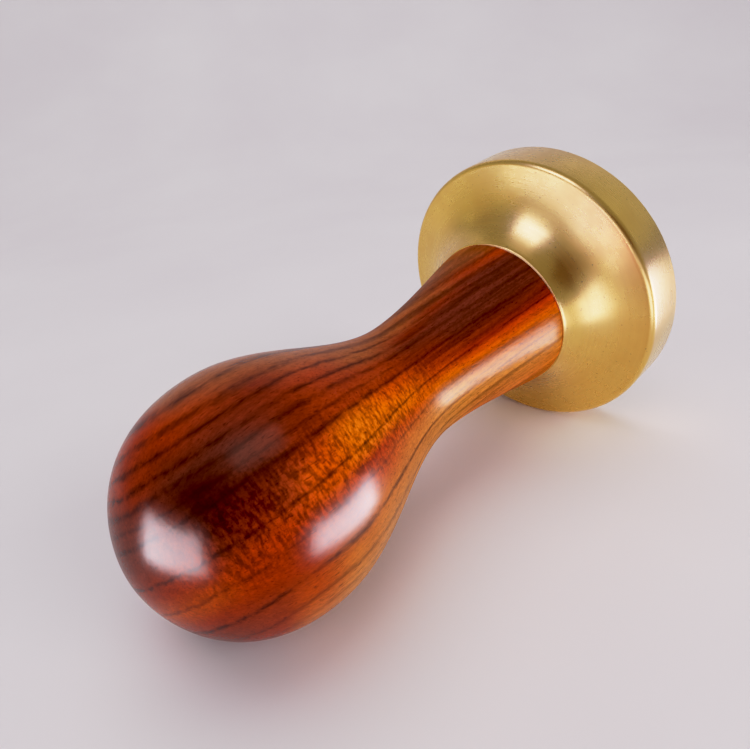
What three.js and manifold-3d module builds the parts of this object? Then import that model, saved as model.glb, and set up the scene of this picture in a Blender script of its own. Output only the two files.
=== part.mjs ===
// Espresso tamper: a turned brass head and a pear-shaped wooden handle that screws onto it.
// Millimetres, +Z up. The origin is the centre of the flat tamping face and +Z is the axis of
// the tamper, running up through the head to the top of the handle.

import * as THREE from "three";
import { mergeVertices } from "three/addons/utils/BufferGeometryUtils.js";
import Module from "manifold-3d";

// ---- driving dimensions -------------------------------------------------------------------

// Head: one piece of brass with a flat face, an upright rim with a rounded upper edge, and a
// hollow cove that sweeps up to the neck.
const headRadius = 29.0;
const faceEdgeBreak = 0.3;
const rimWallTop = 8.2;
const rimRound = 1.1;
const neckRadius = 15.55;
const neckTop = 17.1;
const neckEdgeBreak = 0.25;
const coveStartSlope = THREE.MathUtils.degToRad(9);
const coveEndSlope = THREE.MathUtils.degToRad(62);
const coveReach = 5.4;

// Handle: neck end, waist, belly and round top.
const handleEndRadius = 15.3;
const handleEndRound = 0.3;
const jointGap = 0.1;
const waistRadius = 11.3;
const waistHeight = 44.9;
const bellyRadius = 20.4;
const bellyHeight = 78.1;
const handleTop = 100.3;
const neckReach = 3.7;
const aboveNeckReach = 10.3;
const waistReach = 11.8;
const underBellyReach = 11.3;
const overBellyReach = 17.1;
const topReach = 7.3;

// Threaded stud, M8 with a 1.25 mm pitch, and the brass insert that it sits in.
const studRadius = 4.0;
const studBottom = 6.1;
const studTop = 29.6;
const studEndBevel = 0.8;
const socketAcrossFlats = 4.0;
const socketDepth = 5.0;
const insertRadius = 6.0;
const insertLength = 13.0;
const insertEndBevel = 0.5;
const pressGap = 0.1;
const threadGap = 0.1;
const holeEndRoom = 1.0;

const bodySegments = 72;
const smallSegments = 36;

// ---- materials ----------------------------------------------------------------------------

const brass = new THREE.MeshStandardMaterial({ color: 0xb8924a, roughness: 0.32, metalness: 1.0 });
const wood = new THREE.MeshStandardMaterial({ color: 0x8a3312, roughness: 0.28, metalness: 0.0 });
const steel = new THREE.MeshStandardMaterial({ color: 0xa9abad, roughness: 0.35, metalness: 1.0 });
const insertBrass = new THREE.MeshStandardMaterial({ color: 0xa9853f, roughness: 0.4, metalness: 1.0 });

// ---- helpers ------------------------------------------------------------------------------

const point = (radius, height) => new THREE.Vector2(radius, height);

// Points of a smooth stretch between two ends, without its first point.
function sweep(start, startControl, endControl, end, divisions) {
  const curve = new THREE.CubicBezierCurve(start, startControl, endControl, end);
  return curve.getPoints(divisions).slice(1);
}

// Points of a quarter round from its outermost point up to its top, both ends included.
function quarterRound(centre, radius, divisions) {
  const points = [];
  for (let i = 0; i <= divisions; i += 1) {
    const angle = ((Math.PI / 2) * i) / divisions;
    points.push(point(centre.x + radius * Math.cos(angle), centre.y + radius * Math.sin(angle)));
  }
  return points;
}

// A solid of revolution about Z. The outline runs from the axis, or round a closed loop.
function turned(outline, segments) {
  const geometry = new THREE.LatheGeometry(outline, segments);
  geometry.rotateX(Math.PI / 2);
  return geometry;
}

const wasm = await Module();
wasm.setup();

function toSolid(geometry) {
  const bare = geometry.clone();
  bare.deleteAttribute("normal");
  bare.deleteAttribute("uv");
  const merged = mergeVertices(bare);
  const vertProperties = new Float32Array(merged.attributes.position.array);
  const triVerts = new Uint32Array(merged.index.array);
  return new wasm.Manifold(new wasm.Mesh({ numProp: 3, vertProperties, triVerts }));
}

function toGeometry(solid) {
  const mesh = solid.getMesh();
  const geometry = new THREE.BufferGeometry();
  geometry.setAttribute("position", new THREE.BufferAttribute(mesh.vertProperties, 3));
  geometry.setIndex(new THREE.BufferAttribute(mesh.triVerts, 1));
  geometry.computeVertexNormals();
  return geometry;
}

function piece(name, geometry, material) {
  const mesh = new THREE.Mesh(geometry, material);
  mesh.name = name;
  return mesh;
}

// ---- head ---------------------------------------------------------------------------------

function headGeometry() {
  const coveStart = point(headRadius - rimRound, rimWallTop + rimRound);
  const coveEnd = point(neckRadius, neckTop - neckEdgeBreak);
  const startControl = point(
    coveStart.x - coveReach * Math.cos(coveStartSlope),
    coveStart.y + coveReach * Math.sin(coveStartSlope)
  );
  const endControl = point(
    coveEnd.x + coveReach * Math.cos(coveEndSlope),
    coveEnd.y - coveReach * Math.sin(coveEndSlope)
  );
  const holeRadius = studRadius + threadGap;
  const outline = [
    point(0, 0),
    point(headRadius - faceEdgeBreak, 0),
    point(headRadius, faceEdgeBreak),
    ...quarterRound(point(headRadius - rimRound, rimWallTop), rimRound, 5),
    ...sweep(coveStart, startControl, endControl, coveEnd, 12),
    point(neckRadius - neckEdgeBreak, neckTop),
    point(holeRadius, neckTop),
    point(holeRadius, studBottom - holeEndRoom),
    point(0, studBottom - holeEndRoom),
  ];
  return turned(outline, bodySegments);
}

// ---- handle -------------------------------------------------------------------------------

const handleBottom = neckTop + jointGap;

function handleGeometry() {
  const neckEnd = point(handleEndRadius, handleBottom + handleEndRound);
  const waist = point(waistRadius, waistHeight);
  const belly = point(bellyRadius, bellyHeight);
  const top = point(0, handleTop);
  const holeRadius = insertRadius + pressGap;
  const holeTop = handleBottom + pressGap + insertLength + holeEndRoom;
  const outline = [
    point(0, holeTop),
    point(holeRadius, holeTop),
    point(holeRadius, handleBottom),
    point(handleEndRadius - handleEndRound, handleBottom),
    neckEnd,
    ...sweep(
      neckEnd,
      point(handleEndRadius, handleBottom + neckReach),
      point(waistRadius, waistHeight - aboveNeckReach),
      waist,
      8
    ),
    ...sweep(
      waist,
      point(waistRadius, waistHeight + waistReach),
      point(bellyRadius, bellyHeight - underBellyReach),
      belly,
      10
    ),
    ...sweep(
      belly,
      point(bellyRadius, bellyHeight + overBellyReach),
      point(topReach, handleTop),
      top,
      12
    ),
  ];
  return turned(outline, bodySegments);
}

// ---- stud and insert ----------------------------------------------------------------------

function studGeometry() {
  const outline = [
    point(0, studBottom),
    point(studRadius - studEndBevel, studBottom),
    point(studRadius, studBottom + studEndBevel),
    point(studRadius, studTop - studEndBevel),
    point(studRadius - studEndBevel, studTop),
    point(0, studTop),
  ];
  const rod = toSolid(turned(outline, smallSegments));

  // Hexagon socket in the lower end, for the key that sets the stud in the handle.
  const socketRadius = socketAcrossFlats / Math.sqrt(3);
  const socketLength = socketDepth + 1.0;
  const key = new THREE.CylinderGeometry(socketRadius, socketRadius, socketLength, 6);
  key.rotateX(Math.PI / 2);
  key.translate(0, 0, studBottom + socketDepth - socketLength / 2);
  return toGeometry(rod.subtract(toSolid(key)));
}

function insertGeometry() {
  const bottom = handleBottom + pressGap;
  const top = bottom + insertLength;
  const boreRadius = studRadius + threadGap;
  const outline = [
    point(boreRadius, bottom),
    point(insertRadius - insertEndBevel, bottom),
    point(insertRadius, bottom + insertEndBevel),
    point(insertRadius, top - insertEndBevel),
    point(insertRadius - insertEndBevel, top),
    point(boreRadius, top),
    point(boreRadius, bottom),
  ];
  return turned(outline, smallSegments);
}

// ---- the tamper ---------------------------------------------------------------------------

const tamper = new THREE.Group();
tamper.name = "espresso_tamper";
tamper.add(piece("head", headGeometry(), brass));
tamper.add(piece("stud", studGeometry(), steel));
tamper.add(piece("threaded_insert", insertGeometry(), insertBrass));
tamper.add(piece("handle", handleGeometry(), wood));

export default tamper;
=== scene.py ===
# Espresso tamper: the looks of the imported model, for Blender 4.5.
# Metres, in the part's own frame: the origin is the middle of the tamping face and +Z runs up
# the tamper's axis. In the main picture the tamper lies on its side on a pale table, so the
# stage is a table that touches the head's rim and the handle's belly.

import math

import bmesh
import bpy
from mathutils import Matrix, Vector


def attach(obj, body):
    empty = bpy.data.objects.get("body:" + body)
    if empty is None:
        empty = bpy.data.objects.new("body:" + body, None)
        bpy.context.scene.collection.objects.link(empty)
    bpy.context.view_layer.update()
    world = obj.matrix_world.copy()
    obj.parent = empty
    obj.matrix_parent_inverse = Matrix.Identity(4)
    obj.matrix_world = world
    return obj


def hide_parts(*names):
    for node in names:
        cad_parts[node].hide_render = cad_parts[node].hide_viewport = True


MM = 0.001

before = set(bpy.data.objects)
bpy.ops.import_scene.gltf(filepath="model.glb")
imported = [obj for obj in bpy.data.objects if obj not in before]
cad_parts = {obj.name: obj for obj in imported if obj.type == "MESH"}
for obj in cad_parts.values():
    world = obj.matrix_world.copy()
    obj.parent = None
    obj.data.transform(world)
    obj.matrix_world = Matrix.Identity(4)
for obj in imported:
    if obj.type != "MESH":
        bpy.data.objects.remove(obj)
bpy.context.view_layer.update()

# ---- driving dimensions, mm (the same as the part's) ----------------------------------------

HEAD_RADIUS = 29.0
FACE_EDGE_ROUND = 0.3
RIM_WALL_TOP = 8.2
RIM_ROUND = 1.1
NECK_RADIUS = 15.55
NECK_TOP = 17.1
NECK_EDGE_ROUND = 0.25
BORE_EDGE_ROUND = 0.3
COVE_START_SLOPE = math.radians(9)
COVE_END_SLOPE = math.radians(62)
COVE_REACH = 5.4

HANDLE_END_RADIUS = 15.3
HANDLE_END_ROUND = 0.3
JOINT_GAP = 0.1
WAIST_RADIUS = 11.3
WAIST_HEIGHT = 44.9
BELLY_RADIUS = 20.4
BELLY_HEIGHT = 78.1
HANDLE_TOP = 100.3
NECK_REACH = 3.7
ABOVE_NECK_REACH = 10.3
WAIST_REACH = 11.8
UNDER_BELLY_REACH = 11.3
OVER_BELLY_REACH = 17.1
TOP_REACH = 7.3

STUD_RADIUS = 4.0
STUD_BOTTOM = 6.1
STUD_TOP = 29.6
STUD_END_BEVEL = 0.8
THREAD_PITCH = 1.25
THREAD_DEPTH = 0.65
SOCKET_ACROSS_FLATS = 4.0
SOCKET_DEPTH = 5.0
INSERT_RADIUS = 6.0
INSERT_LENGTH = 13.0
INSERT_END_BEVEL = 0.5
INSERT_BORE_BEVEL = 0.3
GROOVE_BOTTOM = 2.5
GROOVE_WIDTH = 1.2
GROOVE_DEPTH = 0.4
GROOVE_SLOPE = 0.3
KNURL_DEPTH = 0.24
FIT_GAP = 0.1
HOLE_END_ROOM = 1.0

HANDLE_BOTTOM = NECK_TOP + JOINT_GAP

# The middle of a painted brown reflection on the head's cove.
HEAD_PAINTED_REFLECTION = (19.1, -7.7, 11.6)

# Counts: sides of the round pieces, steps of the thread, ridges of the knurl.
BODY_SEGMENTS = 256
STUD_SEGMENTS = 72
INSERT_SEGMENTS = 144
STEPS_PER_TURN = 10
KNURL_RIDGES = 36

# The widths of the thread's flat crest and of its flat root, each as a share of the pitch.
THREAD_FLAT = 0.12

# ---- outlines --------------------------------------------------------------------------------


def bezier(start, start_control, end_control, end, steps):
    """Points of a smooth stretch, without its first point."""
    points = []
    for i in range(1, steps + 1):
        t = i / steps
        u = 1 - t
        weights = (u * u * u, 3 * u * u * t, 3 * u * t * t, t * t * t)
        corners = (start, start_control, end_control, end)
        points.append(tuple(sum(w * c[k] for w, c in zip(weights, corners)) for k in (0, 1)))
    return points


def arc(centre, radius, start_deg, end_deg, steps):
    """Points of a round stretch, both ends included."""
    points = []
    for i in range(steps + 1):
        angle = math.radians(start_deg + (end_deg - start_deg) * i / steps)
        points.append((centre[0] + radius * math.cos(angle), centre[1] + radius * math.sin(angle)))
    return points


def rounded(corner, before, after, radius, steps=4):
    """A corner of an outline, softened to a small curve between its two sides."""
    to_before = Vector(before) - Vector(corner)
    to_after = Vector(after) - Vector(corner)
    start = Vector(corner) + to_before.normalized() * radius
    end = Vector(corner) + to_after.normalized() * radius
    points = [tuple(start)]
    for i in range(1, steps + 1):
        t = i / steps
        p = start * (1 - t) ** 2 + Vector(corner) * 2 * t * (1 - t) + end * t * t
        points.append(tuple(p))
    return points


# ---- meshes ----------------------------------------------------------------------------------


def finish_mesh(bm, name, sharp_deg=30):
    """The piece that these faces make, smooth except at its sharp edges."""
    bmesh.ops.recalc_face_normals(bm, faces=bm.faces)
    mesh = bpy.data.meshes.new(name)
    bm.to_mesh(mesh)
    bm.free()
    mesh.shade_smooth()
    mesh.set_sharp_from_angle(angle=math.radians(sharp_deg))
    piece = bpy.data.objects.new(name, mesh)
    bpy.context.scene.collection.objects.link(piece)
    return piece


def add_rings(bm, outline, segments, radius_at=None):
    """Rings of vertices round Z, one for each outline point; a point on the axis is one vertex.
    Where it is given, radius_at works out each vertex's own radius."""
    rings = []
    for radius, height in outline:
        if radius == 0:
            rings.append([bm.verts.new((0, 0, height * MM))])
            continue
        ring = []
        for i in range(segments):
            angle = 2 * math.pi * i / segments
            r = radius if radius_at is None else radius_at(radius, height, angle)
            ring.append(bm.verts.new((r * MM * math.cos(angle), r * MM * math.sin(angle), height * MM)))
        rings.append(ring)
    return rings


def skin(bm, rings, closed=False):
    """Faces from each ring to the next, and from the last to the first where it is closed."""
    pairs = list(zip(rings[:-1], rings[1:]))
    if closed:
        pairs.append((rings[-1], rings[0]))
    for low, high in pairs:
        count = max(len(low), len(high))
        for i in range(count):
            j = (i + 1) % count
            if len(low) == 1:
                bm.faces.new((low[0], high[i], high[j]))
            elif len(high) == 1:
                bm.faces.new((low[i], low[j], high[0]))
            else:
                bm.faces.new((low[i], low[j], high[j], high[i]))


def turned(name, outline):
    """A solid of revolution about Z."""
    bm = bmesh.new()
    skin(bm, add_rings(bm, outline, BODY_SEGMENTS))
    return finish_mesh(bm, name)


def head_outline():
    cove_start = (HEAD_RADIUS - RIM_ROUND, RIM_WALL_TOP + RIM_ROUND)
    cove_end = (NECK_RADIUS, NECK_TOP - NECK_EDGE_ROUND)
    cove_points = bezier(
        cove_start,
        (
            cove_start[0] - COVE_REACH * math.cos(COVE_START_SLOPE),
            cove_start[1] + COVE_REACH * math.sin(COVE_START_SLOPE),
        ),
        (
            cove_end[0] + COVE_REACH * math.cos(COVE_END_SLOPE),
            cove_end[1] - COVE_REACH * math.sin(COVE_END_SLOPE),
        ),
        cove_end,
        40,
    )
    hole = STUD_RADIUS + FIT_GAP
    hole_end = STUD_BOTTOM - HOLE_END_ROOM
    outline = [(0, 0)]
    outline += arc((HEAD_RADIUS - FACE_EDGE_ROUND, FACE_EDGE_ROUND), FACE_EDGE_ROUND, -90, 0, 4)
    outline += arc((cove_start[0], RIM_WALL_TOP), RIM_ROUND, 0, 90, 12)
    outline += cove_points
    neck_edge = (NECK_RADIUS - NECK_EDGE_ROUND, NECK_TOP - NECK_EDGE_ROUND)
    outline += arc(neck_edge, NECK_EDGE_ROUND, 0, 90, 4)[1:]
    outline += rounded((hole, NECK_TOP), (NECK_RADIUS, NECK_TOP), (hole, hole_end), BORE_EDGE_ROUND)
    outline += [(hole, hole_end), (0, hole_end)]
    return outline


def handle_outline():
    hole = INSERT_RADIUS + FIT_GAP
    hole_top = HANDLE_BOTTOM + FIT_GAP + INSERT_LENGTH + HOLE_END_ROOM
    end_round = (HANDLE_END_RADIUS - HANDLE_END_ROUND, HANDLE_BOTTOM + HANDLE_END_ROUND)
    neck_end = (HANDLE_END_RADIUS, HANDLE_BOTTOM + HANDLE_END_ROUND)
    waist = (WAIST_RADIUS, WAIST_HEIGHT)
    belly = (BELLY_RADIUS, BELLY_HEIGHT)
    outline = [(0, hole_top), (hole, hole_top), (hole, HANDLE_BOTTOM)]
    outline += arc(end_round, HANDLE_END_ROUND, -90, 0, 4)
    outline += bezier(
        neck_end,
        (HANDLE_END_RADIUS, HANDLE_BOTTOM + NECK_REACH),
        (WAIST_RADIUS, WAIST_HEIGHT - ABOVE_NECK_REACH),
        waist,
        40,
    )
    outline += bezier(
        waist,
        (WAIST_RADIUS, WAIST_HEIGHT + WAIST_REACH),
        (BELLY_RADIUS, BELLY_HEIGHT - UNDER_BELLY_REACH),
        belly,
        48,
    )
    outline += bezier(
        belly,
        (BELLY_RADIUS, BELLY_HEIGHT + OVER_BELLY_REACH),
        (TOP_REACH, HANDLE_TOP),
        (0, HANDLE_TOP),
        48,
    )
    return outline


def make_stud(name):
    """An M8 grub screw: a helical thread, bevelled ends and a hexagon socket in the lower end."""
    length = STUD_TOP - STUD_BOTTOM
    rows = round(length / THREAD_PITCH * STEPS_PER_TURN)
    heights = [STUD_BOTTOM + length * i / rows for i in range(rows + 1)]

    def threaded(radius, height, angle):
        turn = (height / THREAD_PITCH - angle / (2 * math.pi)) % 1.0
        groove = 1 - abs(2 * turn - 1)
        groove = min(1.0, max(0.0, (groove - THREAD_FLAT) / (1 - 2 * THREAD_FLAT)))
        from_end = min(height - STUD_BOTTOM, STUD_TOP - height)
        return min(radius - THREAD_DEPTH * groove, STUD_RADIUS - STUD_END_BEVEL + from_end)

    # The hexagon has as many vertices as the thread's rings, so that the two can be joined.
    def hexagonal(radius, height, angle):
        within = (angle + math.pi / 6) % (math.pi / 3) - math.pi / 6
        return radius / math.cos(within)

    bm = bmesh.new()
    rings = add_rings(bm, [(STUD_RADIUS, h) for h in heights], STUD_SEGMENTS, threaded)
    half_flats = SOCKET_ACROSS_FLATS / 2
    floor = STUD_BOTTOM + SOCKET_DEPTH
    socket_outline = [(0, floor), (half_flats, floor), (half_flats, STUD_BOTTOM)]
    socket = add_rings(bm, socket_outline, STUD_SEGMENTS, hexagonal)
    top = add_rings(bm, [(0, STUD_TOP)], STUD_SEGMENTS)
    skin(bm, socket + rings + top)
    return finish_mesh(bm, name, sharp_deg=40)


def make_insert(name):
    """A brass insert: a knurled outside with a groove round it, and a bore open at both ends."""
    bottom = HANDLE_BOTTOM + FIT_GAP
    top = bottom + INSERT_LENGTH
    bore = STUD_RADIUS + FIT_GAP
    groove_radius = INSERT_RADIUS - GROOVE_DEPTH
    groove_bottom = bottom + GROOVE_BOTTOM
    groove_top = groove_bottom + GROOVE_WIDTH
    outline = [
        (bore, bottom + INSERT_BORE_BEVEL),
        (bore + INSERT_BORE_BEVEL, bottom),
        (INSERT_RADIUS - INSERT_END_BEVEL, bottom),
        (INSERT_RADIUS, bottom + INSERT_END_BEVEL),
        (INSERT_RADIUS, groove_bottom),
        (groove_radius, groove_bottom + GROOVE_SLOPE),
        (groove_radius, groove_top - GROOVE_SLOPE),
        (INSERT_RADIUS, groove_top),
        (INSERT_RADIUS, top - INSERT_END_BEVEL),
        (INSERT_RADIUS - INSERT_END_BEVEL, top),
        (bore + INSERT_BORE_BEVEL, top),
        (bore, top - INSERT_BORE_BEVEL),
    ]

    def knurled(radius, height, angle):
        if radius < INSERT_RADIUS:
            return radius
        return radius - KNURL_DEPTH / 2 * (1 + math.cos(KNURL_RIDGES * angle))

    bm = bmesh.new()
    skin(bm, add_rings(bm, outline, INSERT_SEGMENTS, knurled), closed=True)
    return finish_mesh(bm, name)


# ---- node helpers ----------------------------------------------------------------------------


class Nodes:
    """A short way to add and link the nodes of one material."""

    def __init__(self, name):
        self.material = bpy.data.materials.new(name)
        self.material.use_nodes = True
        self.tree = self.material.node_tree
        self.shader = self.tree.nodes["Principled BSDF"]
        self.output = self.tree.nodes["Material Output"]

    def add(self, kind, inputs=None, **settings):
        node = self.tree.nodes.new(kind)
        for key, value in settings.items():
            setattr(node, key, value)
        for key, value in (inputs or {}).items():
            self.put(value, node.inputs[key])
        return node

    def put(self, value, socket):
        if isinstance(value, bpy.types.NodeSocket):
            self.tree.links.new(value, socket)
        else:
            socket.default_value = value

    def math(self, operation, a, b=0.0, clamp=False):
        node = self.add("ShaderNodeMath", {0: a, 1: b}, operation=operation)
        node.use_clamp = clamp
        return node.outputs[0]

    def vector(self, operation, a, b=(0, 0, 0)):
        node = self.add("ShaderNodeVectorMath", {0: a, 1: b}, operation=operation)
        gives_number = operation in ("DOT_PRODUCT", "DISTANCE", "LENGTH")
        return node.outputs["Value" if gives_number else "Vector"]

    def place_mm(self):
        """The place on the piece, in the part's frame, in millimetres."""
        place = self.add("ShaderNodeTexCoord").outputs["Object"]
        return self.vector("MULTIPLY", place, (1000, 1000, 1000))

    def noise(self, place, scale, detail=2.0, roughness=0.5):
        """Noise with a scale of its own along each axis."""
        node = self.add("ShaderNodeTexNoise", {"Vector": self.vector("MULTIPLY", place, scale)})
        node.inputs["Scale"].default_value = 1.0
        node.inputs["Detail"].default_value = detail
        node.inputs["Roughness"].default_value = roughness
        return node.outputs["Fac"]

    def range(self, value, low, high, to_low=0.0, to_high=1.0, smooth=False):
        node = self.add("ShaderNodeMapRange", {"Value": value})
        node.interpolation_type = "SMOOTHSTEP" if smooth else "LINEAR"
        node.clamp = True
        node.inputs["From Min"].default_value = low
        node.inputs["From Max"].default_value = high
        node.inputs["To Min"].default_value = to_low
        node.inputs["To Max"].default_value = to_high
        return node.outputs["Result"]

    def mix(self, factor, a, b):
        node = self.add("ShaderNodeMix", data_type="RGBA")
        node.clamp_factor = True
        self.put(factor, node.inputs[0])
        self.put(a, node.inputs[6])
        self.put(b, node.inputs[7])
        return node.outputs[2]

    def ramp(self, value, stops):
        node = self.add("ShaderNodeValToRGB", {"Fac": value})
        ramp = node.color_ramp
        while len(ramp.elements) < len(stops):
            ramp.elements.new(0.5)
        for element, (position, colour) in zip(ramp.elements, stops):
            element.position = position
            element.color = colour
        return node.outputs["Color"]

    def shade(self, colour, factor):
        """A colour made lighter or darker."""
        node = self.add("ShaderNodeVectorMath", {0: colour}, operation="SCALE")
        self.put(factor, node.inputs["Scale"])
        return node.outputs[0]

    def bump(self, height, strength, distance):
        node = self.add("ShaderNodeBump", {"Height": height})
        node.inputs["Strength"].default_value = strength
        node.inputs["Distance"].default_value = distance
        return node.outputs["Normal"]


def rgb(red, green, blue):
    """A display colour, 0 to 255, as the linear colour that shaders take."""
    out = []
    for value in (red, green, blue):
        v = value / 255
        out.append(v / 12.92 if v <= 0.04045 else ((v + 0.055) / 1.055) ** 2.4)
    return (*out, 1.0)


def grey(value):
    return (value, value, value, 1.0)


# ---- wood ------------------------------------------------------------------------------------

# The growth layers are nearly flat sheets that hold the tamper's axis. Their depth is measured
# in millimetres from the axis, along this direction, and they draw together towards the neck.
LAYER_DIRECTION_DEG = -5.0
LAYER_SPAN = 22.0
NECK_SQUEEZE = 0.66
SQUEEZE_FROM = 46.0
SQUEEZE_TO = 76.0

# What bends the layers, from slow to quick: noise scale along each axis, detail, roughness, and
# how far the layers swing, in mm.
LAYER_BENDS = [
    ((0.04, 0.04, 0.022), 1.0, 0.5, 0.4),
    ((0.35, 0.35, 0.06), 3.0, 0.6, 0.35),
    ((1.3, 1.3, 0.3), 2.0, 0.6, 0.16),
]

WOOD_TONES = {
    "straw": (217, 143, 64),
    "honey": (212, 122, 44),
    "amber": (214, 112, 26),
    "flame": (196, 86, 14),
    "ember": (165, 58, 12),
    "rust": (154, 62, 26),
    "brown": (126, 50, 26),
    "umber": (105, 50, 36),
    "dark": (93, 37, 23),
    "night": (72, 28, 18),
    "tan": (150, 84, 42),
}

# The tone of the layers by depth, at nine heights up the handle.
WOOD_LEVELS = [
    (
        26.0,
        [
            (-19.0, "honey"), (-13.0, "straw"), (-6.0, "amber"), (-3.0, "flame"), (-1.0, "ember"),
            (1.5, "brown"), (6.0, "umber"), (14.5, "umber"), (17.5, "rust"), (19.5, "tan"),
        ],
    ),
    (
        37.0,
        [
            (-17.0, "honey"), (-11.0, "straw"), (-5.0, "amber"), (-2.5, "flame"), (-0.5, "ember"),
            (1.5, "brown"), (5.5, "umber"), (11.5, "umber"), (14.0, "brown"), (17.0, "tan"),
        ],
    ),
    (
        46.0,
        [
            (-14.0, "straw"), (-7.0, "straw"), (-3.5, "amber"), (-1.0, "flame"), (1.5, "rust"),
            (5.0, "brown"), (9.5, "umber"), (12.0, "brown"), (14.5, "tan"),
        ],
    ),
    (
        57.0,
        [
            (-14.0, "straw"), (-7.0, "honey"), (-3.5, "flame"), (-0.5, "amber"), (3.5, "flame"),
            (5.5, "rust"), (9.0, "rust"), (12.0, "tan"),
        ],
    ),
    (
        68.0,
        [
            (-14.0, "straw"), (-9.0, "honey"), (-6.0, "flame"), (-3.0, "ember"), (-1.0, "amber"),
            (3.0, "amber"), (5.5, "rust"), (12.0, "rust"), (16.0, "tan"),
        ],
    ),
    (
        76.0,
        [
            (-16.0, "straw"), (-11.0, "honey"), (-7.5, "rust"), (-4.5, "rust"), (-1.5, "flame"),
            (1.0, "flame"), (3.5, "rust"), (6.0, "brown"), (11.5, "brown"), (14.5, "brown"),
            (17.5, "tan"),
        ],
    ),
    (
        84.0,
        [
            (-17.0, "honey"), (-12.5, "flame"), (-8.0, "ember"), (-4.0, "ember"), (-1.0, "rust"),
            (1.0, "brown"), (5.0, "dark"), (10.0, "umber"), (13.0, "brown"), (15.5, "rust"),
            (19.0, "tan"),
        ],
    ),
    (
        90.0,
        [
            (-15.0, "ember"), (-11.0, "rust"), (-7.0, "ember"), (-3.5, "ember"), (-0.5, "brown"),
            (2.0, "dark"), (5.0, "night"), (7.5, "night"), (9.5, "umber"), (12.5, "brown"),
            (16.0, "ember"),
        ],
    ),
    (
        96.5,
        [
            (-12.0, "brown"), (-8.0, "ember"), (-5.5, "flame"), (-2.0, "ember"), (3.0, "brown"),
            (8.0, "brown"), (12.0, "ember"),
        ],
    ),
]

# Thin dark lines between layers: depth, half width, darkness. One colour ramp draws a few.
LINES_PER_RAMP = 6
WOOD_LINES = [
    (-15.6, 0.25, 0.35),
    (-13.2, 0.34, 0.50),
    (-9.6, 0.26, 0.85),
    (-4.9, 0.18, 0.60),
    (-0.4, 0.20, 0.85),
    (4.9, 0.30, 0.80),
    (6.9, 0.22, 0.60),
    (8.9, 0.34, 0.75),
    (11.0, 0.30, 0.85),
    (13.3, 0.26, 0.85),
    (15.4, 0.30, 0.70),
    (17.9, 0.42, 0.85),
]


def layer_stop(depth):
    """The place of a depth along a colour ramp."""
    return (depth + LAYER_SPAN) / (2 * LAYER_SPAN)


def layer_depth(nodes, place, height):
    """Depth in the growth layers, which draw together at the neck and waver along the grain."""
    direction = math.radians(LAYER_DIRECTION_DEG)
    across = (math.cos(direction), math.sin(direction), 0.0)
    squeeze = nodes.range(height, SQUEEZE_FROM, SQUEEZE_TO, NECK_SQUEEZE, 1.0, smooth=True)
    depth = nodes.math("DIVIDE", nodes.vector("DOT_PRODUCT", place, across), squeeze)
    for scale, detail, roughness, swing in LAYER_BENDS:
        bend = nodes.noise(place, scale, detail, roughness)
        depth = nodes.math("ADD", depth, nodes.range(bend, 0.2, 0.8, -swing, swing))
    return depth


def layer_colour(nodes, stop, height):
    """Colour of the layers, which changes from one level to the next."""
    colour = None
    for level, (level_height, tones) in enumerate(WOOD_LEVELS):
        level_colour = nodes.ramp(stop, [(layer_stop(d), rgb(*WOOD_TONES[name])) for d, name in tones])
        if colour is None:
            colour = level_colour
        else:
            passed = nodes.range(height, WOOD_LEVELS[level - 1][0], level_height, smooth=True)
            colour = nodes.mix(passed, colour, level_colour)
    return colour


def dark_lines(nodes, stop, place, height):
    """How dark the thin lines are: they are stronger in some stretches than in others."""
    lines = None
    for first in range(0, len(WOOD_LINES), LINES_PER_RAMP):
        stops = []
        for depth, half_width, dark in WOOD_LINES[first:first + LINES_PER_RAMP]:
            stops.append((layer_stop(depth - 2.0 * half_width), grey(0.0)))
            stops.append((layer_stop(depth), grey(dark)))
            stops.append((layer_stop(depth + 2.0 * half_width), grey(0.0)))
        some_lines = nodes.ramp(stop, stops)
        lines = some_lines if lines is None else nodes.math("ADD", lines, some_lines, clamp=True)
    broken = nodes.noise(place, (0.6, 0.6, 0.16), 3.0, 0.7)
    lines = nodes.math("MULTIPLY", lines, nodes.range(broken, 0.37, 0.53, 0.28, 1.0))
    return nodes.math("MULTIPLY", lines, nodes.range(height, 38.0, 56.0, 0.5, 1.0))


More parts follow.
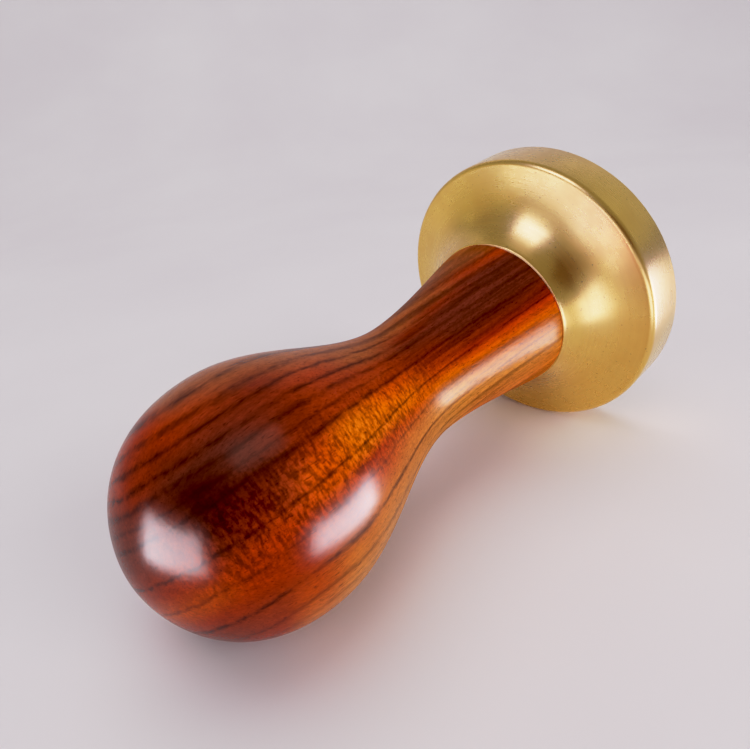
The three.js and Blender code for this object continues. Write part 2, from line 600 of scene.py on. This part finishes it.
def wood_material():
    """Red-brown hardwood under a clear gloss finish."""
    nodes = Nodes("handle_wood")
    place = nodes.place_mm()
    height = nodes.add("ShaderNodeSeparateXYZ", {0: place}).outputs["Z"]
    depth = layer_depth(nodes, place, height)
    stop = nodes.range(depth, -LAYER_SPAN, LAYER_SPAN)
    colour = layer_colour(nodes, stop, height)

    # Ripple across the grain, in the bright layers near the middle of the wood.
    ripple = nodes.noise(place, (0.8, 0.8, 1.9), 3.0, 0.6)
    rippled = nodes.math("MULTIPLY", nodes.range(height, 100.0, 90.0), nodes.range(height, 38.0, 58.0))
    rippled = nodes.math("MULTIPLY", rippled, nodes.range(nodes.math("ABSOLUTE", depth), 8.0, 2.5))
    ripple_swing = nodes.math("MULTIPLY", rippled, nodes.range(ripple, 0.40, 0.60, -0.42, 0.42))
    colour = nodes.shade(colour, nodes.math("ADD", 1.0, ripple_swing))

    # Broad light and dark bands that run the length of the neck.
    band_place = nodes.add("ShaderNodeCombineXYZ", {0: depth, 1: height}).outputs[0]
    bands = nodes.noise(band_place, (0.5, 0.02, 0.0), 2.0, 0.6)
    at_neck = nodes.range(height, 62.0, 44.0)
    band_swing = nodes.math("MULTIPLY", at_neck, nodes.range(bands, 0.38, 0.62, -0.32, 0.26))
    colour = nodes.shade(colour, nodes.math("ADD", 1.0, band_swing))

    # Streaks along the grain, fine fibres, the dark lines, and pores that open as short dashes.
    streaks = nodes.noise(place, (0.9, 0.9, 0.03), 5.0, 0.65)
    fibres = nodes.noise(place, (3.0, 3.0, 1.1), 3.0, 0.7)
    pores = nodes.range(nodes.noise(place, (4.6, 4.6, 0.6), 2.0, 0.6), 0.61, 0.69)
    colour = nodes.shade(colour, nodes.range(streaks, 0.3, 0.7, 0.86, 1.16))
    colour = nodes.shade(colour, nodes.range(fibres, 0.3, 0.7, 0.80, 1.22))
    colour = nodes.mix(dark_lines(nodes, stop, place, height), colour, rgb(56, 18, 8))
    colour = nodes.mix(nodes.math("MULTIPLY", pores, 0.6), colour, rgb(60, 18, 8))

    # The finish lies over the wood's grain, thinner on the neck, where the grain shows through.
    dimples = nodes.noise(place, (1.5, 1.5, 1.1), 3.0, 0.7)
    relief = nodes.math("SUBTRACT", dimples, nodes.math("MULTIPLY", pores, 0.1))
    relief = nodes.math("MULTIPLY", relief, nodes.range(height, 36.0, 52.0, 2.6, 1.0))
    normal = nodes.bump(relief, 0.15, 0.00012)

    shader = nodes.shader
    nodes.put(colour, shader.inputs["Base Color"])
    nodes.put(normal, shader.inputs["Normal"])
    nodes.put(normal, shader.inputs["Coat Normal"])
    nodes.put(nodes.range(height, 44.0, 68.0, 0.37, 0.85), shader.inputs["Coat Weight"])
    shader.inputs["Roughness"].default_value = 0.5
    shader.inputs["Specular IOR Level"].default_value = 0.0
    shader.inputs["Coat Roughness"].default_value = 0.21
    shader.inputs["Coat IOR"].default_value = 1.34
    return nodes.material


# ---- metals ----------------------------------------------------------------------------------


def turned_metal(name, colour, warm, roughness, line_strength, spread=0.5, film=0.0, painted_reflection=None):
    """Satin metal with the fine rings that a lathe tool leaves, a warmer haze and specks. spread
    is how far the rings draw out a reflection, film is a clear lacquer over the metal, and the
    last argument is the middle of a painted brown reflection."""
    nodes = Nodes(name)
    place = nodes.place_mm()
    axes = nodes.add("ShaderNodeSeparateXYZ", {0: place})
    flat = nodes.add("ShaderNodeCombineXYZ", {0: axes.outputs["X"], 1: axes.outputs["Y"]}).outputs[0]
    radius = nodes.vector("LENGTH", flat)
    ring_place = nodes.add("ShaderNodeCombineXYZ", {0: radius, 1: axes.outputs["Z"]}).outputs[0]
    drift = nodes.vector("MULTIPLY", place, (0.006, 0.006, 0.0))
    ring_place = nodes.vector("ADD", ring_place, drift)
    rings = nodes.noise(ring_place, (2.6, 2.6, 2.6))
    broad_rings = nodes.noise(ring_place, (1.1, 1.1, 1.0))
    haze = nodes.noise(place, (0.16, 0.16, 0.16), 3.0, 0.6)
    specks = nodes.range(nodes.noise(place, (1.9, 1.9, 1.9), 1.0, 0.4), 0.75, 0.77)

    tone = nodes.mix(nodes.range(haze, 0.35, 0.7), colour, warm)
    tone = nodes.shade(tone, nodes.range(rings, 0.3, 0.7, 0.97, 1.02))
    tone = nodes.mix(nodes.math("MULTIPLY", specks, 0.5), tone, rgb(110, 80, 36))
    # A painted brown reflection round the given middle, mixed into the metal's colour.
    if painted_reflection is not None:
        painted_reflection_mask = nodes.range(nodes.vector("DISTANCE", place, painted_reflection), 5.0, 1.0, 0.0, 0.2, smooth=True)
        tone = nodes.mix(painted_reflection_mask, tone, rgb(196, 132, 62))
    ring_gloss = nodes.range(broad_rings, 0.3, 0.7, -0.015, 0.015)
    haze_gloss = nodes.range(haze, 0.3, 0.7, roughness, roughness + 0.06)

    shader = nodes.shader
    nodes.put(tone, shader.inputs["Base Color"])
    nodes.put(nodes.math("ADD", ring_gloss, haze_gloss), shader.inputs["Roughness"])
    nodes.put(nodes.bump(broad_rings, line_strength, 0.00002), shader.inputs["Normal"])
    shader.inputs["Metallic"].default_value = 1.0
    shader.inputs["Coat Weight"].default_value = film
    shader.inputs["Coat Roughness"].default_value = 0.3
    shader.inputs["Coat IOR"].default_value = 1.6

    # The rings run round the axis, so they spread every reflection across them.
    tangent = nodes.add("ShaderNodeTangent", direction_type="RADIAL", axis="Z")
    nodes.put(tangent.outputs[0], shader.inputs["Tangent"])
    shader.inputs["Anisotropic"].default_value = spread
    shader.inputs["Anisotropic Rotation"].default_value = 0.25
    return nodes.material


def use_material(piece, material):
    """Gives a piece its one material."""
    piece.data.materials.clear()
    piece.data.materials.append(material)


# ---- the pieces ------------------------------------------------------------------------------

brass = turned_metal(
    "head_brass",
    rgb(234, 197, 98),
    rgb(228, 188, 88),
    roughness=0.25,
    line_strength=0.04,
    spread=0.7,
    film=1.0,
    painted_reflection=HEAD_PAINTED_REFLECTION,
)
insert_brass = turned_metal(
    "insert_brass", rgb(236, 204, 140), rgb(214, 180, 110), roughness=0.32, line_strength=0.2
)
steel = turned_metal(
    "stud_steel", rgb(196, 197, 200), rgb(178, 178, 182), roughness=0.28, line_strength=0.15
)
wood = wood_material()

head = turned("brass_head", head_outline())
use_material(head, brass)
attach(head, "head")
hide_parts("head")

handle = turned("wooden_handle", handle_outline())
use_material(handle, wood)
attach(handle, "handle")
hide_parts("handle")

stud = make_stud("steel_stud")
use_material(stud, steel)
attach(stud, "stud")
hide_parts("stud")

insert = make_insert("brass_insert")
use_material(insert, insert_brass)
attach(insert, "handle")
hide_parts("threaded_insert")

# ---- camera ----------------------------------------------------------------------------------

CAMERA_PLACE = Vector((6.97, -91.19, 105.77)) * MM
CAMERA_TARGET = Vector((4.08, 11.00, 42.94)) * MM
CAMERA_UP_HINT = Vector((0.8247, -0.2791, -0.4919))
CAMERA_FORWARD = (CAMERA_TARGET - CAMERA_PLACE).normalized()
LENS_LENGTH_MM = 28.8
SENSOR_WIDTH_MM = 36.0

camera_data = bpy.data.cameras.new("camera")
camera_data.lens = LENS_LENGTH_MM
camera_data.sensor_width = SENSOR_WIDTH_MM
camera_data.clip_start = 0.005
camera_data.clip_end = 20.0
camera = bpy.data.objects.new("camera", camera_data)
camera_right = CAMERA_FORWARD.cross(CAMERA_UP_HINT).normalized()
camera_up = camera_right.cross(CAMERA_FORWARD)
camera.matrix_world = Matrix((camera_right, camera_up, -CAMERA_FORWARD)).transposed().to_4x4()
camera.matrix_world.translation = CAMERA_PLACE
bpy.context.scene.collection.objects.link(camera)
bpy.context.scene.camera = camera

# ---- table -----------------------------------------------------------------------------------

# The tamper rests on the rounded edge of the rim and on the belly of the handle. The table
# lies on this side of the tamper's axis, with a hair's breadth, in mm, between them.
TABLE_AZIMUTH_DEG = 145.0
TABLE_GAP = 0.02


def reach(outline, slope):
    """How far an outline reaches towards a table that leans by this slope."""
    return max(radius * math.cos(slope) + height * math.sin(slope) for radius, height in outline)


def resting_slope():
    """The lean at which the table touches the head and the handle together."""
    low = 0.0
    high = math.radians(20)
    for _ in range(40):
        middle = (low + high) / 2
        if reach(head_outline(), middle) > reach(handle_outline(), middle):
            low = middle
        else:
            high = middle
    return low


def stage_frame():
    """Matrix of the table: X to the camera's right, Y away from the camera, Z up."""
    azimuth = math.radians(TABLE_AZIMUTH_DEG)
    slope = resting_slope()
    table_side = Vector((math.cos(azimuth), math.sin(azimuth), 0))
    up = -table_side * math.cos(slope) - Vector((0, 0, 1)) * math.sin(slope)
    contact = -up * (reach(head_outline(), slope) + TABLE_GAP) * MM
    forward = CAMERA_FORWARD - up * CAMERA_FORWARD.dot(up)
    forward.normalize()
    right = forward.cross(up)
    matrix = Matrix((right, forward, up)).transposed().to_4x4()
    matrix.translation = contact
    return matrix


stage = stage_frame()
stage_up = stage.col[2].to_3d()


def table_material():
    """Pale paper, seen only from its upper side, so that the tamper shows from behind it too."""
    nodes = Nodes("table")
    place = nodes.add("ShaderNodeTexCoord").outputs["Object"]
    mottle = nodes.noise(place, (9, 9, 9), 3.0)
    colour = nodes.ramp(mottle, [(0.3, rgb(222, 216, 220)), (0.7, rgb(228, 223, 226))])
    nodes.put(colour, nodes.shader.inputs["Base Color"])
    nodes.shader.inputs["Roughness"].default_value = 0.6
    nodes.shader.inputs["Specular IOR Level"].default_value = 0.3
    clear = nodes.add("ShaderNodeBsdfTransparent").outputs[0]
    behind = nodes.add("ShaderNodeNewGeometry").outputs["Backfacing"]
    both = nodes.add("ShaderNodeMixShader", {0: behind, 1: nodes.shader.outputs[0], 2: clear})
    nodes.put(both.outputs[0], nodes.output.inputs["Surface"])
    return nodes.material


def make_table():
    """A flat sheet that curves up far behind the tamper, in metres."""
    half_width = 0.9
    near = -0.35
    bend_start = 0.30
    bend_radius = 0.45
    wall_height = 0.8
    outline = [(near, 0.0)]
    outline += arc((bend_start, bend_radius), bend_radius, -90, 0, 24)
    outline.append((bend_start + bend_radius, bend_radius + wall_height))
    bm = bmesh.new()
    left = [bm.verts.new((-half_width, y, z)) for y, z in outline]
    right = [bm.verts.new((half_width, y, z)) for y, z in outline]
    for i in range(len(outline) - 1):
        bm.faces.new((left[i], right[i], right[i + 1], left[i + 1]))
    mesh = bpy.data.meshes.new("table")
    bm.to_mesh(mesh)
    bm.free()
    mesh.shade_smooth()
    table = bpy.data.objects.new("table", mesh)
    table.matrix_world = stage
    bpy.context.scene.collection.objects.link(table)
    use_material(table, table_material())
    return table


table = make_table()

# ---- light -----------------------------------------------------------------------------------

# The middle of the tamper, which the lights face.
CENTRE = Vector((0, 0, 55)) * MM


def facing_matrix(azimuth_deg, elevation_deg, distance):
    """A place round the tamper, with Z away from it. Azimuth 0 is straight away from the camera,
    along the table, and 90 is to the camera's right; elevation is above the table."""
    azimuth = math.radians(azimuth_deg)
    elevation = math.radians(elevation_deg)
    aim = Vector(
        (
            math.sin(azimuth) * math.cos(elevation),
            math.cos(azimuth) * math.cos(elevation),
            math.sin(elevation),
        )
    )
    back = stage.to_3x3() @ aim
    right = stage_up.cross(back).normalized()
    up = back.cross(right)
    matrix = Matrix((right, up, back)).transposed().to_4x4()
    matrix.translation = CENTRE + back * distance
    return matrix


def area_light(name, matrix, width, height, power, colour=(1, 1, 1)):
    """A soft panel that shines towards its own -Z. Its sides are in metres, its power in watts."""
    data = bpy.data.lights.new(name, "AREA")
    data.shape = "RECTANGLE"
    data.size = width
    data.size_y = height
    data.energy = power
    data.color = colour
    light = bpy.data.objects.new(name, data)
    light.matrix_world = matrix
    light.visible_camera = False
    bpy.context.scene.collection.objects.link(light)
    return light


def unblocked_by(light, things):
    """Lets a light shine through some things."""
    passed = bpy.data.collections.new(light.name + "_passes")
    for thing in things:
        passed.objects.link(thing)
    light.light_linking.blocker_collection = passed
    for member in passed.collection_objects:
        member.light_linking.link_state = "EXCLUDE"


def shines_on(light, piece):
    """Lets only one piece show a light."""
    lit = bpy.data.collections.new(light.name + "_lights")
    lit.objects.link(piece)
    light.light_linking.receiver_collection = lit


# Soft light that shapes the shadows; the tamper shows no image of it.
for fill in (
    area_light("overhead", facing_matrix(-40, 80, 1.2), 1.2, 1.2, 6.9),
    area_light("front_fill", facing_matrix(-168, 52, 1.0), 0.5, 0.5, 1.1),
    area_light("right_fill", facing_matrix(130, 28, 1.0), 0.5, 0.5, 3.1),
):
    fill.visible_glossy = False

# Bright panels that the lacquer and the brass mirror. Those for the brass are mostly violet,
# because the metal itself turns what it mirrors yellow.
COOL = (0.94, 0.90, 1.0)
WARM = (1.0, 0.85, 0.75)
VIOLET = (0.43, 0.42, 1.0)
STRAW = (1.0, 0.95, 0.6)
CARD_DISTANCE = 0.6

# Name, azimuth, elevation, width, height, power and colour.
HANDLE_CARDS = [
    ("left_card", -127, -5, 0.50, 0.31, 10.0, COOL),
    ("right_card", 110, -20, 0.54, 0.23, 10.3, COOL),
    ("ceiling_card", 150, 68, 0.34, 0.22, 0.5, WARM),
]
HEAD_CARDS = [
    ("left_card_brass", -116, -6, 0.50, 0.30, 1.4, VIOLET),
    ("right_card_brass", 106, -10, 0.50, 0.32, 3.1, VIOLET),
    ("ceiling_card_brass", -125, 48, 0.30, 0.30, 1.6, VIOLET),
    ("front_card_brass", -178, -20, 0.44, 0.26, 1.2, VIOLET),
    ("rim_card_brass", 66, 30, 0.60, 0.36, 0.13, STRAW),
    ("side_card_brass", -77, 8, 0.50, 0.40, 0.13, STRAW),
]


def add_cards(cards, receiver, passes):
    """Panels that only one piece mirrors, and that shine through some things."""
    for name, azimuth_deg, elevation_deg, width, height, power, colour in cards:
        matrix = facing_matrix(azimuth_deg, elevation_deg, CARD_DISTANCE)
        card = area_light(name, matrix, width, height, power, colour)
        card.visible_diffuse = False
        unblocked_by(card, passes)
        shines_on(card, receiver)


add_cards(HANDLE_CARDS, handle, [table])
add_cards(HEAD_CARDS, head, [table, handle])

# The warm light that the brass throws on the table beside it, as a small panel just above.
GLOW_PLACE = Vector((10.0, -18.5, 13.0)) * MM
GLOW_COLOUR = (1.0, 0.87, 0.64)
glow_matrix = stage @ Matrix.Translation(GLOW_PLACE)
glow = area_light("brass_glow", glow_matrix, 0.036, 0.008, 0.0006, GLOW_COLOUR)
glow.visible_glossy = False
unblocked_by(glow, [head, handle])
shines_on(glow, table)


def make_shade():
    """A dim warm panel behind the camera, where the photographer is, that only reflections show."""
    half_width = 0.20
    half_height = 0.13
    bm = bmesh.new()
    corners = [(-1, -1), (1, -1), (1, 1), (-1, 1)]
    bm.faces.new([bm.verts.new((x * half_width, y * half_height, 0)) for x, y in corners])
    mesh = bpy.data.meshes.new("shade")
    bm.to_mesh(mesh)
    bm.free()
    shade = bpy.data.objects.new("shade", mesh)
    shade.matrix_world = facing_matrix(180, 22, 0.5)
    bpy.context.scene.collection.objects.link(shade)
    nodes = Nodes("shade")
    nodes.shader.inputs["Base Color"].default_value = grey(0.0)
    nodes.shader.inputs["Specular IOR Level"].default_value = 0.0
    nodes.shader.inputs["Emission Color"].default_value = rgb(190, 150, 130)
    nodes.shader.inputs["Emission Strength"].default_value = 0.3
    use_material(shade, nodes.material)
    shade.visible_camera = False
    shade.visible_diffuse = False
    shade.visible_shadow = False


make_shade()

world = bpy.data.worlds.new("world")
world.use_nodes = True
background = world.node_tree.nodes["Background"]
background.inputs["Color"].default_value = rgb(212, 207, 212)
background.inputs["Strength"].default_value = 0.49
bpy.context.scene.world = world

# ---- tone ------------------------------------------------------------------------------------

# The picture's contrast: scene light and the light shown for it.
TONE = [
    (0.018, 0.0),
    (0.10, 0.068),
    (0.30, 0.275),
    (0.62, 0.62),
    (1.0, 0.84),
    (1.7, 0.95),
    (3.0, 1.0),
]


def set_tone(view):
    """Puts the tone curve into the view."""
    view.view_transform = "Standard"
    view.look = "None"
    view.exposure = 0.0
    view.gamma = 1.0
    view.use_curve_mapping = True
    mapping = view.curve_mapping
    low = TONE[0][0]
    high = TONE[-1][0]
    mapping.black_level = (low, low, low)
    mapping.white_level = (high, high, high)
    points = mapping.curves[3].points
    for scene_light, shown in TONE[1:-1]:
        points.new((scene_light - low) / (high - low), shown)
    mapping.update()


set_tone(bpy.context.scene.view_settings)
